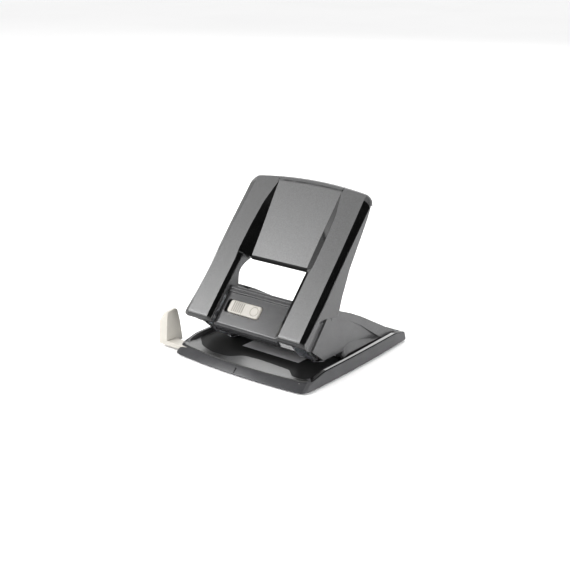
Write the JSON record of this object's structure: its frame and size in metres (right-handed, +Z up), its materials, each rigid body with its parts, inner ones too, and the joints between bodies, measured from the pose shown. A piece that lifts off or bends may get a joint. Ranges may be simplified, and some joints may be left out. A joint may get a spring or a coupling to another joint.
{
  "type": "hole punch",
  "caption": "Desk paper punch: wide hinged lever with a finger window and a lock, pins over dies in an open throat, pull-out paper guide, hinged chip tray.",
  "frame": {"origin": "on the table, under the middle of the base, on the chip tray's underside", "axes": "+X to the user's right along the throat, +Y away from the user towards the hump, +Z up"},
  "size_m": [0.1459, 0.1363, 0.1273],
  "materials": {
    "black_satin": "satin moulded black plastic",
    "black_gloss": "polished black plastic",
    "black_matte": "fine-grained black plastic",
    "pale_grey": "pale warm grey plastic",
    "zinc_steel": "bright zinc-plated sheet steel",
    "tool_steel": "hardened ground steel",
    "spring_steel": "spring steel",
    "cast_alloy": "die-cast alloy",
    "bright_screw": "bright screw heads",
    "foot_rubber": "black rubber"
  },
  "bodies": {
    "base": {"base_skirt": "black_satin", "deck_plate": "black_gloss", "die_strip": "zinc_steel", "die_left": "tool_steel", "die_right": "tool_steel", "punch_bracket_left": "zinc_steel", "punch_bracket_right": "zinc_steel", "bracket_rivets": "cast_alloy", "head_cover": "black_satin", "head_screws": "bright_screw", "rubber_feet": "foot_rubber", "lever_axle": "tool_steel", "axle_clips": "spring_steel", "return_spring_left": "spring_steel", "return_spring_right": "spring_steel", "guide_detent": "spring_steel", "lock_catch_pin": "tool_steel"},
    "lever": {"lever_cover": "black_satin", "cross_panel": "black_satin", "lever_arm_left": "cast_alloy", "lever_arm_right": "cast_alloy", "lever_screws": "bright_screw"},
    "lock": {"lock_slider": "pale_grey"},
    "pin_left": {"punch_pin_left": "tool_steel", "spring_washer_left": "zinc_steel"},
    "pin_right": {"punch_pin_right": "tool_steel", "spring_washer_right": "zinc_steel"},
    "guide": {"paper_guide": "pale_grey"},
    "tray": {"chip_tray": "black_matte"}
  },
  "joints": [
    {"name": "lever_hinge", "type": "hinge", "parent": "base", "child": "lever", "pos_m": [0, -0.043, 0.033], "axis": [-1, 0, 0], "range_deg": [0, 24], "stiffness_Nm_per_rad": 1.7, "springref_deg": -16.04},
    {"name": "lock_slide", "type": "slide", "parent": "lever", "child": "lock", "axis": [-1, 0, 0], "range_m": [0, 0.0032]},
    {"name": "pin_left_slide", "type": "slide", "parent": "base", "child": "pin_left", "axis": [0, 0, -1], "range_m": [0, 0.01], "stiffness_N_per_m": 200, "springref_m": -0.004, "deforming": ["return_spring_left"]},
    {"name": "pin_right_slide", "type": "slide", "parent": "base", "child": "pin_right", "axis": [0, 0, -1], "range_m": [0, 0.01], "stiffness_N_per_m": 200, "springref_m": -0.004, "deforming": ["return_spring_right"]},
    {"name": "guide_slide", "type": "slide", "parent": "base", "child": "guide", "axis": [-1, 0, 0], "range_m": [0, 0.091]},
    {"name": "tray_hinge", "type": "hinge", "parent": "base", "child": "tray", "pos_m": [0, 0.049, 0.0032], "axis": [1, 0, 0], "range_deg": [0, 40]}
  ],
  "couplings": [
    {"joint": "pin_left_slide", "follows": "lever_hinge", "m_per_rad": 0.02385},
    {"joint": "pin_right_slide", "follows": "lever_hinge", "m_per_rad": 0.02385}
  ]
}
